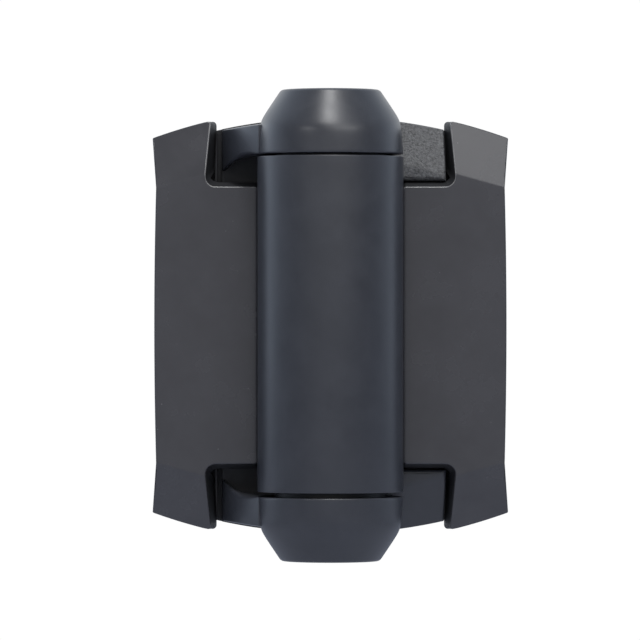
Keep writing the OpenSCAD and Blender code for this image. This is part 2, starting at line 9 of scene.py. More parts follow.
import bmesh
import bpy
import json
import math
import numpy as np
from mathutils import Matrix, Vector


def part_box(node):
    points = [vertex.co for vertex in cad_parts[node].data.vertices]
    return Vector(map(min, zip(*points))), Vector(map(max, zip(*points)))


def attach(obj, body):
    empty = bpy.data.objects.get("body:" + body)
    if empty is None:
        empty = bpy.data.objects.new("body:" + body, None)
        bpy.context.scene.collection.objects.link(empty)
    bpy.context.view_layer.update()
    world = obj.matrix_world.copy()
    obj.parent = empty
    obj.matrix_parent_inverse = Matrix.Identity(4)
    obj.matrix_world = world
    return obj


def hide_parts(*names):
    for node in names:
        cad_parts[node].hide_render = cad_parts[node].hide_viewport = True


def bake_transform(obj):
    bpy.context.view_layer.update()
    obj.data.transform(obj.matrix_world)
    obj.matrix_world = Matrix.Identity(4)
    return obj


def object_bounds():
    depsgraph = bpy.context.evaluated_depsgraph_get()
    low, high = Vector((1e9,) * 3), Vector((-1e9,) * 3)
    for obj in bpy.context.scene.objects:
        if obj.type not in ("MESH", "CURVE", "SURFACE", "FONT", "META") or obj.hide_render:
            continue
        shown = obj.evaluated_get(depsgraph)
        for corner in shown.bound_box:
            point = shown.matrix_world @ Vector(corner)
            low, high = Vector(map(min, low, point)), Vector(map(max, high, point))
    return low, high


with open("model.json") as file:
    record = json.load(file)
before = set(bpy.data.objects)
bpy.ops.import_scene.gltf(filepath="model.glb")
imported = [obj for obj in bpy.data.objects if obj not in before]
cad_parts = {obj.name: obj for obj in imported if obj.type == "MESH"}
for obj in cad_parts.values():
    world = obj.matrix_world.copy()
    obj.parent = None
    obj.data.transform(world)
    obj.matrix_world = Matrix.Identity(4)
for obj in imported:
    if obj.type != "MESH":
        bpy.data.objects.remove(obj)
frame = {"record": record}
cad_low, cad_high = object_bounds()
print("CAD box in mm:", [round(1000 * (b - a), 1) for a, b in zip(cad_low, cad_high)])

# %% [markdown]
# ## Sizes
#
# The shapes below are worked out in millimetres, because that is how a mould drawing gives
# them. Each value says what it is on the hinge. The hinge axis is Z, the gate is at +X, the
# post at -X, and the plane that both leaves are screwed to is at +Y.

# %% Sizes of the hinge, in millimetres
MM = 0.001  # one millimetre in the frame's metres
TOP = 1000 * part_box("post_leaf")[1].z  # height of the upper end face, and -TOP the lower one
BACK = 1000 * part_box("post_leaf")[1].y  # the plane that the leaves are screwed to
REACH = 1000 * cad_high[0]  # the tips of the ears
BARREL_R = 21.7  # radius of the barrel, and of a knuckle at its inner end
END_H = 19.2  # height of an end knuckle
UPPER_GAP, LOWER_GAP = 0.7, 1.4  # the running gaps, which hold the washers
KNUCKLE_Z = TOP - END_H
BARREL_TOP = KNUCKLE_Z - UPPER_GAP
BARREL_BOTTOM = -(KNUCKLE_Z - LOWER_GAP)
CLEAR_R = 22.1  # radius that a leaf keeps free round the other leaf's barrel or knuckles
COVER_FRONT = 8.0  # depth of a cover's flat front
COVER_BACK = 20.1  # depth of its rim, on the flange
COVER_EDGE = 21.85  # its inner edge, beside the barrel
COVER_WALL = 2.2
NOTCH_Z = 41.4  # base of the notch beside an ear
SHOULDER_Z = 43.17  # lower edge of a shoulder, in that notch
LAP = 0.04  # how far a back lies under the plate's own back, so that the two never coincide
print("knuckles from", round(KNUCKLE_Z, 2), "to", round(TOP, 2))

# %% [markdown]
# ## Turning numbers into meshes
#
# Every new surface here is a table of points: rows one way, columns the other. Faces join each
# point to its neighbours, and a table that closes on itself wraps round. Working on whole
# arrays keeps the formulas readable, and one function hands the result to Blender.


# %% From arrays to an object
def grid(rows, columns, wrap_rows=False, wrap_columns=False, first=0):
    """Quads between neighbours in a rows by columns table of points, counted from first."""
    r = np.arange(rows if wrap_rows else rows - 1)[:, None]
    c = np.arange(columns if wrap_columns else columns - 1)[None, :]
    r1, c1 = (r + 1) % rows, (c + 1) % columns
    corners = [r * columns + c, r * columns + c1, r1 * columns + c1, r1 * columns + c]
    corners = [np.broadcast_to(k, (r.size, c.size)) for k in corners]
    return first + np.stack(corners, -1).reshape(-1, 4)


def placed(name, data):
    """A new object in the scene, from a mesh, a lamp or a camera."""
    made = bpy.data.objects.new(name, data)
    bpy.context.scene.collection.objects.link(made)
    return made


class Shape:
    """A growing set of points in millimetres, with quads and flat caps between them."""

    def __init__(self):
        self.points, self.quads, self.caps, self.count = [], [], [], 0

    def add(self, table, wrap_rows=False, wrap_columns=False, caps=()):
        """Adds a table of points (rows, columns, 3), and caps on the rows that caps names."""
        rows, columns = table.shape[:2]
        self.quads.append(grid(rows, columns, wrap_rows, wrap_columns, self.count))
        for row in caps:
            start = self.count + (row % rows) * columns
            self.caps.append(np.arange(start, start + columns))
        self.points.append(table.reshape(-1, 3))
        self.count += rows * columns
        return self

    def object(self, name):
        """The mesh as a new object, with doubles merged and normals pointing outwards."""
        points = np.concatenate(self.points) * MM
        faces = [tuple(q) for q in np.concatenate(self.quads)] + [tuple(c) for c in self.caps]
        mesh = bpy.data.meshes.new(name)
        mesh.from_pydata(points, [], faces)
        work = bmesh.new()
        work.from_mesh(mesh)
        bmesh.ops.remove_doubles(work, verts=work.verts, dist=2e-7)
        bmesh.ops.dissolve_degenerate(work, dist=1e-8, edges=work.edges)
        bmesh.ops.recalc_face_normals(work, faces=work.faces)
        work.to_mesh(mesh)
        work.free()
        return placed(name, mesh)


def merged(name, objects):
    """Several objects' meshes as one object, where the shells may lie in each other."""
    work = bmesh.new()
    for part in objects:
        work.from_mesh(part.data)
        bpy.data.objects.remove(part)
    mesh = bpy.data.meshes.new(name)
    work.to_mesh(mesh)
    work.free()
    return placed(name, mesh)


def reflected(piece, axis):
    """The same piece mirrored along X (axis 0) or Z (axis 2), with its faces turned back out."""
    mesh = piece.data
    points = np.empty(3 * len(mesh.vertices), np.float32)
    mesh.vertices.foreach_get("co", points)
    points[axis::3] *= -1
    mesh.vertices.foreach_set("co", points)
    mesh.flip_normals()
    mesh.update()
    return piece


def finish_where(piece, number, chosen):
    """Gives a material number to the faces whose centre, in millimetres, passes a test."""
    mesh = piece.data
    centre = np.empty(3 * len(mesh.polygons), np.float32)
    mesh.polygons.foreach_get("center", centre)
    x, y, z = centre.reshape(-1, 3).T / MM
    numbers = np.zeros(len(mesh.polygons), np.int32)
    mesh.polygons.foreach_get("material_index", numbers)
    numbers[chosen(x, y, z)] = number
    mesh.polygons.foreach_set("material_index", numbers)
    print(piece.name, "has", int((numbers == number).sum()), "faces of finish", number)


def finish(piece, body, replaces, sharp_deg=35):
    """Smooth shading up to an angle, the body, and the nodes it stands for, which it hides."""
    mesh = piece.data
    mesh.shade_smooth()
    mesh.set_sharp_from_angle(angle=math.radians(sharp_deg))
    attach(piece, body)
    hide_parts(*replaces)
    size = [round(1000 * d, 2) for d in piece.dimensions]
    print(f"{piece.name}: {len(mesh.polygons)} faces, {size} mm")


# %% [markdown]
# ## Paths with rounded corners
#
# A moulded outline is straight runs joined by arcs. `rounded` takes the corners and their
# radii, and `outward` gives the outline's normals, along which an edge radius or the inner face
# of a wall is set in.


# %% Outlines
def unit(v):
    """Vectors with their lengths made one."""
    return v / np.linalg.norm(v, axis=-1, keepdims=True)


def line(p, q, steps, first=None, last=None):
    """Points from p towards q, without q. The first or the last step may have its own length."""
    p, q = np.asarray(p, float), np.asarray(q, float)
    t = np.arange(steps) / steps
    if first:
        short = first / np.linalg.norm(q - p)
        t = np.append(0, short + np.arange(steps - 1) / (steps - 1) * (1 - short))
    if last:
        t = np.append(np.arange(steps - 1) / (steps - 1), 1 - last / np.linalg.norm(q - p))
    return p + t[:, None] * (q - p)


def corner_arc(before, at, after, radius, steps):
    """The arc that rounds a corner: it touches both sides at radius * tan(half the turn)."""
    u, v = unit(before - at), unit(after - at)
    half = 0.5 * np.arccos(np.clip(u @ v, -1, 1))
    turn = math.pi - 2 * half
    if radius <= 0 or turn < 1e-4:
        return np.repeat(at[None], steps + 1, 0)
    centre = at + unit(u + v) * radius / math.sin(half)
    start = at + u * radius / math.tan(half) - centre
    end = at + v * radius / math.tan(half) - centre
    t = np.linspace(0, 1, steps + 1)[:, None]
    return centre + (np.sin((1 - t) * turn) * start + np.sin(t * turn) * end) / math.sin(turn)


def rounded(corners, radii, spacing=1.5, arc_steps=6):
    """A closed outline: straight runs in steps of about spacing, and an arc at each corner."""
    corners = np.asarray(corners, float)
    arcs = [corner_arc(corners[i - 1], corners[i], corners[(i + 1) % len(corners)], radii[i],
                       arc_steps if radii[i] > 0 else 0) for i in range(len(corners))]
    pieces = []
    for arc, following in zip(arcs, arcs[1:] + arcs[:1]):
        steps = max(1, int(np.linalg.norm(following[0] - arc[-1]) / spacing))
        pieces += [arc[:-1], line(arc[-1], following[0], steps)]
    return np.concatenate(pieces)


def outward(outline):
    """Unit normals of a closed outline that runs anticlockwise in its own two axes."""
    along = unit(np.roll(outline, -1, 0) - outline) + unit(outline - np.roll(outline, 1, 0))
    along = unit(along)
    return np.stack([along[:, 1], -along[:, 0]], -1)


def quarter(radius, steps=4):
    """A quarter round from a wall to a flat face, as (how far in, how far short of the face)."""
    a = np.linspace(0, math.pi / 2, steps + 1)
    return np.stack([radius * (1 - np.cos(a)), radius * (1 - np.sin(a))], -1)


# %% [markdown]
# ## Panels with a shaped front
#
# The covers and the shoulders are panels: a front that is flat and then bends back, a small
# radius all round it, and walls behind. The front is a Coons patch, which fills the space
# between four edges smoothly, and its depth is a formula of the place on it. The wall carries
# on from the patch's rim, so there is no seam between them.


# %% Patches, rims and stacks
def coons(bottom, right, top, left):
    """Points between four sides: the two rulings added up, less the corners' own share."""
    s = np.linspace(0, 1, len(left))[:, None, None]
    t = np.linspace(0, 1, len(bottom))[None, :, None]
    ruled = (1 - t) * left[:, None] + t * right[:, None] + (1 - s) * bottom[None] + s * top[None]
    low = (1 - t) * bottom[0] + t * bottom[-1]
    high = (1 - t) * top[0] + t * top[-1]
    return ruled - ((1 - s) * low + s * high)


def at_depth(xz, y):
    """Points in X and Z at a depth in Y: one depth for all, or one for each point."""
    return np.stack([xz[..., 0], np.broadcast_to(y, xz.shape[:-1]), xz[..., 1]], -1)


def panel_front(loop, counts, depth, radius):
    """A patch inside a closed loop, moved in by the edge radius, and its rim's rounded rows.

    The loop runs anticlockwise in X and Z: bottom, right, top and left side, with counts
    points on each. The radius is one number, or one for each point of the loop. The rows of
    the rim start on the patch and end on the walls.
    """
    edge = np.broadcast_to(radius, len(loop))[:, None] * outward(loop)
    inner = loop - edge
    cuts = np.cumsum([0] + list(counts))
    sides = [inner[np.arange(a, b + 1) % len(loop)] for a, b in zip(cuts, cuts[1:])]
    flat = coons(sides[0], sides[1], sides[2][::-1], sides[3][::-1])
    level = depth(inner)
    rim = [at_depth(loop - edge * inset, level + short * radius)
           for inset, short in quarter(1.0)[::-1]]
    return at_depth(flat, depth(flat)), np.stack(rim)


def stack(outline, rows):
    """A closed solid of copies of an outline in X and Z, each moved in and set at a depth."""
    outline = np.asarray(outline, float)
    after = np.roll(outline, -1, 0)
    if np.sum(outline[:, 0] * after[:, 1] - outline[:, 1] * after[:, 0]) < 0:
        outline = outline[::-1]
    normal = outward(outline)
    table = np.stack([at_depth(outline - normal * inset, y) for inset, y in rows])
    return Shape().add(table, wrap_columns=True, caps=(0, -1))


def ends(low, high, radius_low, radius_high):
    """Rows for a body with rounded ends between two depths or heights: insets and places."""
    rows = [(inset, low + short) for inset, short in quarter(radius_low)[::-1]]
    return rows + [(inset, high - short) for inset, short in quarter(radius_high)]


def slab(outline, y0, y1, edge=0.3):
    """A plate between the depths y0 and y1, with a small radius round both faces."""
    return stack(outline, ends(y0, y1, edge, edge))


def bar(x, z, rows, sides=32):
    """A round bar along Y at a place in X and Z: each row gives its radius at a depth."""
    turn = np.linspace(0, 2 * math.pi, sides, endpoint=False)
    table = np.stack([np.stack([x + r * np.cos(turn), np.full(sides, y), z + r * np.sin(turn)], -1)
                      for r, y in rows])
    return Shape().add(table, wrap_columns=True, caps=(0, -1))


def joined(name, shells, tools):
    """Overlapping closed shells joined to one solid, and then the tools, apart, cut out of it."""
    tool = merged("tool", tools)
    solid = shells[0]
    for shell in shells[1:] + [tool]:
        step = solid.modifiers.new("join", "BOOLEAN")
        step.operation, step.solver, step.object = "UNION", "EXACT", shell
    step.operation = "DIFFERENCE"
    graph = bpy.context.evaluated_depsgraph_get()
    mesh = bpy.data.meshes.new_from_object(solid.evaluated_get(graph))
    for shell in shells + [tool]:
        bpy.data.objects.remove(shell)
    return placed(name, mesh)


# %% [markdown]
# ## Outlines that both leaves share
#
# The two leaves are mirror images in outline: an arched edge from the barrel to the ears, a
# straight end line on each ear, and an outer side that is pinched at the creases. The cover,
# the plate under it and the flange behind it all start from these few formulas.

# %% Shared outlines
CREASE_Z = 41.1  # height at which an ear's crease meets the outer side
CREASE_DEG, TILT_DEG = 15.3, 16.0  # slope of the crease line, and the fall of the front past it
WAIST, MIDDLE = 1.15, 0.6  # how far the outer side draws in at the creases, and halfway
CORNER_Z = 55.9  # height of an ear's outer tip
EAR_FOOT = 35.1  # an ear's inner side, at its foot and at the back
EAR_SLANT_DEG, EAR_DRAFT_DEG, NOTCH_DRAFT_DEG = 2.6, 10.8, 15.3
EAR_TOP, EAR_FALL, EAR_BOW = 61.6, 5.6, 1.3  # an ear's end line: inner tip, fall and bow
ARCH_TOP, ARCH_R = 62.4, 155.0  # the arched edge between the barrel and the ears
tan = lambda degrees: math.tan(math.radians(degrees))
EAR_SIDE = EAR_FOOT - (EAR_TOP - NOTCH_Z) * tan(EAR_SLANT_DEG)


def arch_z(x):
    """Half height of the arched edge: a circle of 155 mm radius through its top."""
    return ARCH_TOP - ARCH_R + np.sqrt(ARCH_R ** 2 - np.asarray(x) ** 2)


def ear_z(x):
    """Half height of an ear's end line: top - fall t + bow t (1 - t), a third of a mm of bow."""
    t = (np.asarray(x) - EAR_SIDE) / (REACH - EAR_SIDE)
    return EAR_TOP - EAR_FALL * t + EAR_BOW * t * (1 - t)


def outer_x(z):
    """The outer side: pinched at both creases, and between them slightly hollow."""
    z = np.abs(np.asarray(z, float))
    ear = REACH - WAIST + (z - CREASE_Z) * WAIST / (CORNER_Z - CREASE_Z)
    low = REACH - MIDDLE - (WAIST - MIDDLE) * (z / CREASE_Z) ** 2
    return np.minimum(np.where(z > CREASE_Z, ear, low), REACH)


def bent_back(xz, origin, start, soft=0.15):
    """Depth of a front that is flat up to a crease and then falls back at the tilt angle.

    The distance past the crease goes through 0.5 (d + sqrt(d^2 + w^2)), which rounds it off.
    """
    x, z = xz[..., 0], np.abs(xz[..., 1])
    a = math.radians(CREASE_DEG)
    past = (z - origin[1]) * math.cos(a) + (x - origin[0]) * math.sin(a)
    return start + tan(TILT_DEG) * 0.5 * (past + np.sqrt(past ** 2 + soft ** 2))


print("ears end at", round(float(ear_z(EAR_SIDE)), 1), "and", round(float(ear_z(REACH)), 1), "mm")

# %% [markdown]
# ## The covers
#
# Each cover is a thin glossy shell with two ears, pushed on over the screws. A subdivided cube
# would go soft at its edges, so the shell is built as one outline that is repeated: outwards
# over a 0.4 mm edge, back along the walls, round the rim and up the inside again. The ears'
# inner walls lean, so that the cover comes off its mould. Faces behind the edges beside the
# barrel get the dull finish, number 1, whose darker tone is painted shade, and the upper edges
# a paler colour, number 2, which is a painted highlight.


# %% The cover's outline
CREASE_STEP = 0.3  # how close to a crease the next points of the outline lie
CREASE_UP = 3.6  # height of a crease's inner end above the notch's base
TIP_R, TIP_GROWTH = 0.5, 0.9  # radius of an ear's inner tip in front, and its growth to the back
CORNER_R, NOTCH_R, NOSE_R, LEAST_R = 0.45, 3.0, 0.8, 0.3
KNEE_Z = 33.0  # above it the outer side's points lie closer together


def cover_sides(inset, y):
    """The upper half of a cover's outline at a depth: outer side, end line and inner side.

    Each wall is a line moved in by inset, and each corner is where two of them meet. The two
    sides have the same number of points, so that rulings join crease to crease.
    """
    lean, depth = tan(EAR_SLANT_DEG), COVER_BACK - y
    inner_x = lambda z: EAR_FOOT + depth * tan(EAR_DRAFT_DEG) + inset - (z - NOTCH_Z) * lean
    base = NOTCH_Z + (y - COVER_FRONT) * tan(NOTCH_DRAFT_DEG) - inset
    bend, edge, tip_x = base + CREASE_UP + inset, COVER_EDGE + inset, inner_x(EAR_TOP - 0.6)
    corner_in = np.array([tip_x, ear_z(tip_x) - inset])
    corner_out = np.array([REACH, ear_z(REACH)]) - inset
    foot, nose, knee = (np.array(p) for p in ((inner_x(base), base), (edge, base), (edge, KNEE_Z)))
    crease_in = np.array([inner_x(bend), bend])
    crease_out = np.array([outer_x(CREASE_Z) - inset, CREASE_Z])
    tip_round = TIP_R + TIP_GROWTH * (y - COVER_FRONT) / (COVER_BACK - COVER_FRONT)
    arc_out = corner_arc(crease_out, corner_out, corner_in, CORNER_R, 8)
    arc_in = corner_arc(corner_out, corner_in, foot, max(tip_round - inset, LEAST_R), 8)
    hollow = corner_arc(corner_in, foot, nose, NOTCH_R + inset, 8)
    turn = corner_arc(foot, nose, np.array([edge, 0]), max(NOSE_R - inset, LEAST_R), 6)
    outer = np.concatenate([line((edge, 0), knee, 14),
                            line(knee, crease_out, 24, last=CREASE_STEP)])
    outer[:, 0] = outer_x(outer[:, 1]) - inset
    ear = line(crease_out, arc_out[0], 14, first=CREASE_STEP)
    outer = np.concatenate([outer, ear, arc_out[:5]])
    end = np.concatenate([arc_out[4:8], line(arc_out[8], arc_in[0], 14), arc_in[:5]])
    straight = slice(4, 18)
    end[straight, 1] = ear_z(end[straight, 0]) - inset
    inner = np.concatenate([arc_in[4:8], line(arc_in[8], crease_in, 14, last=CREASE_STEP),
                            line(crease_in, hollow[0], 2, first=CREASE_STEP),
                            hollow[:-1], line(hollow[-1], turn[0], 8), turn[:-1],
                            line(turn[-1], (edge, 0), 14), [(edge, 0)]])
    return outer, end, inner


def whole_loop(outer, end, inner):
    """The closed loop of a panel whose lower half mirrors its upper one, and its sides' counts."""
    flip = np.array([1, -1])
    bottom = (end * flip)[::-1]
    right = np.concatenate([(outer * flip)[::-1][:-1], outer])
    left = np.concatenate([inner, (inner * flip)[::-1][1:]])
    sides = [bottom, right, end, left]
    return np.concatenate([side[:-1] for side in sides]), [len(side) - 1 for side in sides]


print("points on a cover's sides:", [len(side) for side in cover_sides(0, COVER_FRONT)])


# %% Make a cover
SKIRT_Y = COVER_FRONT + 5.0  # the walls go no deeper beside the barrel and in the notches
EDGE, BARREL_EDGE, LINING_EDGE = 0.4, 0.2, 0.3  # edge radii: all round, at the barrel, inside
CROWN = 0.45  # how far the front curves back towards its outer side
PEGS = [(28.4, 33), (28.4, -33), (46, 18), (46, -18)]
LINING_Y = COVER_FRONT + COVER_WALL
PEG_ROWS = [(2.4, LINING_Y - 0.3), (2.0, LINING_Y + 0.7), (2.0, 16.3), (1.6, 16.7)]


def cover_front(xz):
    """The front's depth: bent back past the creases, and crowned a little outwards."""
    crown = CROWN * ((xz[..., 0] - CLEAR_R) / (REACH - CLEAR_R)) ** 2
    return bent_back(xz, (REACH - WAIST, CREASE_Z), COVER_FRONT) + np.minimum(crown, CROWN)


def leaning(inset, y):
    """A cover's outline at the depth y of each of its points, and its sides' counts."""
    near, counts = whole_loop(*cover_sides(inset, COVER_FRONT))
    deep, _ = whole_loop(*cover_sides(inset, COVER_BACK))
    t = ((y - COVER_FRONT) / (COVER_BACK - COVER_FRONT))[:, None]
    return near * (1 - t) + deep * t, counts


def wall_rows(rim, bottom, inset):
    """Two rows of a leaning wall, halfway from its rim to its bottom edge and at that edge."""
    rows = []
    for t in (0.5, 1.0):
        y = rim[-1, :, 1] + t * (bottom - rim[-1, :, 1])
        rows.append(at_depth(leaning(inset, y)[0], y))
    return rows


def cover(name):
    """A thin shell: front, rounded edge, walls, rim, and the same again on the inside."""
    flat, counts = whole_loop(*cover_sides(0, COVER_FRONT))
    shallow = (np.abs(flat[:, 1]) < SHOULDER_Z) & (flat[:, 0] < EAR_FOOT + 4)
    bottom = np.where(shallow, SKIRT_Y, COVER_BACK)
    loop, _ = leaning(0, cover_front(flat))
    radius = np.where(loop[:, 0] < COVER_EDGE + 0.1, BARREL_EDGE, EDGE)
    patch, rim = panel_front(loop, counts, cover_front, radius)
    inside_front = lambda xz: cover_front(xz) + COVER_WALL
    inner_loop, _ = leaning(COVER_WALL, inside_front(loop))
    lining, lining_rim = panel_front(inner_loop, counts, inside_front, LINING_EDGE)
    walls = np.concatenate([rim, wall_rows(rim, bottom, 0),
                            wall_rows(lining_rim, bottom, COVER_WALL)[::-1], lining_rim[::-1]])
    shell = Shape().add(patch).add(walls, wrap_columns=True).add(lining)
    pegs = [bar(x, z, PEG_ROWS).object(name + "_peg") for x, z in PEGS]
    made = merged(name, [shell.object(name + "_shell")] + pegs)
    behind = lambda x, y, z: y - cover_front(np.stack([x, z], -1))
    # Number 1, matt and darker: its darker tone is painted shade on the walls beside the barrel
    finish_where(made, 1, lambda x, y, z: (behind(x, y, z) > 0.41) & (x < EAR_FOOT + 3.0))
    # Number 2, paler: a painted highlight along the upper ears' inner edges and the notches' bases
    finish_where(made, 2, lambda x, y, z: (behind(x, y, z) > 0.02) & (behind(x, y, z) < 0.3)
                 & (x < EAR_FOOT + 3.6) & (z > NOTCH_Z - 0.5))
    return made


finish(reflected(cover("post_cover_skin"), 0), "cover_on_post", ["post_cover"])
finish(cover("gate_cover_skin"), "cover_on_gate", ["gate_cover"])

# %% [markdown]
# ## The gate leaf
#
# The gate leaf is one moulding: the long barrel, a flat web behind it, the plate that the
# screws go through, and two shoulders that fill the notches of its cover, of which the upper
# one is grained, with painted glints for the light that falls on it. The barrel is a section
# carried up the hinge axis, with small radii at its ends and a stepped bore, so it's one closed
# table of points.


# %% Barrel
def upright(outline, rows):
    """A table of copies of an outline in X and Y, each moved in and set at a height."""
    normal = outward(outline)
    return np.stack([np.column_stack([outline - normal * inset, np.broadcast_to(z, len(outline))])
                     for inset, z in rows])


def round_axis(radius, turn, z):
    """Points round the hinge axis: (r cos a, r sin a, z) for each angle a."""
    radius, turn, z = np.broadcast_arrays(radius, turn, z)
    return np.stack([radius * np.cos(turn), radius * np.sin(turn), z], -1)


WEB_X = BARREL_R - 0.2  # side of the flat web behind the barrel
SEAT_R, BUSH_R, CHAMBER_R = 10.65, 8.7, 16.8  # radii in the barrel's bore, from the top
SEAT_Z, BUSH_Z = BARREL_TOP - 1.45, BARREL_TOP - 8.0  # lower ends of the first two
BARREL_BORE = [(SEAT_R, BARREL_TOP), (SEAT_R, SEAT_Z), (BUSH_R, SEAT_Z), (BUSH_R, BUSH_Z),
               (CHAMBER_R, BUSH_Z), (CHAMBER_R, BARREL_BOTTOM)]


def barrel():
    """Barrel and web: a section of arc and flat back, rounded ends, and the stepped bore inside."""
    start = math.atan2(COVER_FRONT, math.sqrt(BARREL_R ** 2 - COVER_FRONT ** 2))
    turn = np.linspace(math.pi / 2, start + 2 * math.pi, 150)
    arc = BARREL_R * np.stack([np.cos(turn), np.sin(turn)], -1)
    front, corner = np.array([WEB_X, COVER_FRONT]), np.array([WEB_X, BACK - LAP])
    ease = corner_arc(arc[-1], front, corner, 0.25, 3)
    back_edge = corner_arc(front, corner, arc[0], 0.6, 4)
    outline = np.concatenate([arc, ease, line(ease[-1], back_edge[0], 8)[1:], back_edge,
                              line(back_edge[-1], arc[0], 12)[1:]])
    around = np.arctan2(outline[:, 1], outline[:, 0])
    outside = upright(outline, ends(BARREL_BOTTOM, BARREL_TOP, 0.45, 0.35))
    inside = [round_axis(r, around, z) for r, z in BARREL_BORE]
    return Shape().add(np.concatenate([outside, inside]), wrap_rows=True, wrap_columns=True)


# %% [markdown]
# ## The plates behind the covers
#
# Under each cover a ribbed plate carries the four screws and the sockets for the cover's pegs.
# Its parts are flat slabs with small radii that overlap, as ribs do in a mould, and one
# boolean then drills the holes and sinks the hollows in the back.


# %% Plates
def strip(x0, x1, z0, z1, radius=0.6):
    """A rectangle with rounded corners."""
    return rounded([(x0, z0), (x1, z0), (x1, z1), (x0, z1)], [radius] * 4, 3.0, 3)


def arch_outline(x0, x1, inset):
    """The leaf between the barrel and the ears, with its arched edges moved in."""
    x = np.linspace(x0, x1, 24)
    upper = np.stack([x, arch_z(x) - inset], -1)
    return np.concatenate([upper[::-1], upper * [1, -1]])


def ear_outline(x0, inset):
    """The cover's outline from x0 outwards, moved in, with its ears' corners rounded."""
    corner = REACH - inset
    z = np.linspace(-39, 39, 27)
    middle = np.stack([outer_x(z) - inset, z], -1)
    top = [(corner, ear_z(REACH) - inset), (x0, ear_z(x0) - inset)]
    points = np.concatenate([middle, [(outer_x(CREASE_Z) - inset, CREASE_Z)], top])
    points = np.concatenate([points, points[-3:][::-1] * [1, -1]])
    radii = [0] * len(z) + [0, 0.5, 1.2, 1.2, 0.5, 0]
    return rounded(points, radii, 3.0, 5)


PLATE_FRONT, FLANGE_T, RIB = 17.0, 1.3, 1.6  # plate's front, flange's and ribs' thickness
ROOT_X = 12.0  # how near the axis the plates reach, inside the barrel's wall
BOSS_FRONT = SKIRT_Y - 0.3  # fronts of the bosses and of the outer rim, under the cover
RIM_X = REACH - COVER_WALL - 0.4  # outer side of the plate, inside the cover's wall
HOLES = [(33, 20), (33, -20), (43.4, 48), (43.4, -48)]
BOSS_R, SCREW_R, SOCKET_R = 3.6, 3.3, 2.05
PITCH, EDGE_X, EDGE_W = 12.7, 16.0, 7.0  # the back's hollows: spacing, first side, width there
MIDDLE_X, OUTER_X, OUTER_END = EDGE_X + EDGE_W + RIB, 40.3, 45.45  # and sides of the others
SLOT_X, SLOT_Z = 38.4, 66.0  # outer side and far end of a slot for an ear's wall


def plate_shells():
    """Flange, plate, strip along the barrel, outer rim, bosses and ribs, as overlapping slabs.

    The flange's two slabs share their depths. The others end at depths of their own, so that
    the boolean meets few equal faces.
    """
    outlines = [
        (ear_outline(EAR_SIDE, 0), BACK - FLANGE_T, BACK),
        (arch_outline(ROOT_X, EAR_FOOT, 0.05), BACK - FLANGE_T, BACK),
        (ear_outline(EAR_SIDE - 0.4, COVER_WALL + 0.4), PLATE_FRONT, BACK - 0.5),
        (arch_outline(ROOT_X + 0.1, EAR_FOOT - 2.6, 0.12), PLATE_FRONT + 0.03, BACK - 0.6),
        (strip(ROOT_X + 0.2, CLEAR_R + 4, -NOTCH_Z, NOTCH_Z), COVER_FRONT + 5.3, BACK - 0.7),
        (strip(RIM_X - RIB - 1.0, RIM_X - 1.15, -52, 52), BOSS_FRONT, BACK - 0.8)]
    shells = [slab(*row) for row in outlines]
    boss = [(BOSS_R - 0.3, BOSS_FRONT), (BOSS_R, BOSS_FRONT + 0.3), (BOSS_R, BACK - 0.9)]
    shells += [bar(x, z, boss) for x, z in PEGS]
    for z in (0, 18, -18):
        ribs = strip(CLEAR_R + 3, RIM_X - 1.5, z - RIB / 2, z + RIB / 2, 0.3)
        shells.append(slab(ribs, BOSS_FRONT + 1, PLATE_FRONT + 1))
    return [shell.object("plate") for shell in shells]


def pocket(x0, x1, z0, z1, deep=3.0):
    """A hollow in the back: a floor with a rounded edge, and a mouth with a small chamfer."""
    floor_y = BACK - deep
    rows = [(0.5, floor_y), (0.15, floor_y + 0.15), (0, floor_y + 0.5), (0, BACK - 0.25),
            (-0.25, BACK), (-0.25, BACK + 1)]
    return stack(strip(x0, x1, z0, z1, 0.8), rows).object("pocket")


def edge_pockets(wider=0.0):
    """The six hollows beside the barrel, which may be wider and deeper by a lap."""
    half = PITCH / 2 - RIB / 2 + wider
    return [pocket(EDGE_X - wider, EDGE_X + EDGE_W + wider, z - half, z + half, 3.0 + wider)
            for z in PITCH * np.arange(-2.5, 3)]


def shoulder_side(z):
    """The shoulder's side beside the ear: it leans with the ear, 0.4 mm away from its foot."""
    return EAR_FOOT - 0.4 - (z - NOTCH_Z) * tan(EAR_SLANT_DEG)


def ear_slots():
    """Slots in the plate that the ears' inner walls go into."""
    z0, z1 = SHOULDER_Z - 0.4, SLOT_Z
    upper = np.array([(shoulder_side(z0), z0), (SLOT_X, z0), (SLOT_X, z1), (shoulder_side(z1), z1)])
    return [stack(rounded(points, [0] * 4, 3.0, 3), [(0, PLATE_FRONT - 3), (0, BACK - FLANGE_T)])
            .object("slot") for points in (upper, upper[::-1] * [1, -1])]


def plate_cutters():
    """Screw holes with eased edges, sockets for the pegs, and the hollows in the back."""
    wide, mouth = SCREW_R + 0.3, SOCKET_R + 0.2
    hole = [(wide, PLATE_FRONT - 6), (wide, PLATE_FRONT), (SCREW_R, PLATE_FRONT + 0.3),
            (SCREW_R, BACK - 0.3), (wide, BACK), (wide, BACK + 1)]
    socket = [(mouth, BOSS_FRONT - 1), (mouth, BOSS_FRONT), (SOCKET_R, BOSS_FRONT + 0.2),
              (SOCKET_R, PLATE_FRONT)]
    tools = [bar(x, z, hole).object("hole") for x, z in HOLES]
    tools += [bar(x, z, socket).object("socket") for x, z in PEGS]
    for row in range(3):
        z = -PITCH + row * 2 * PITCH / 3
        tools.append(pocket(MIDDLE_X, OUTER_X - RIB, z + RIB / 2, z + 2 * PITCH / 3 - RIB / 2))
    for row in range(-2, 2):
        tools.append(pocket(OUTER_X, OUTER_END, row * PITCH + RIB / 2, (row + 1) * PITCH - RIB / 2))
    return tools + edge_pockets()


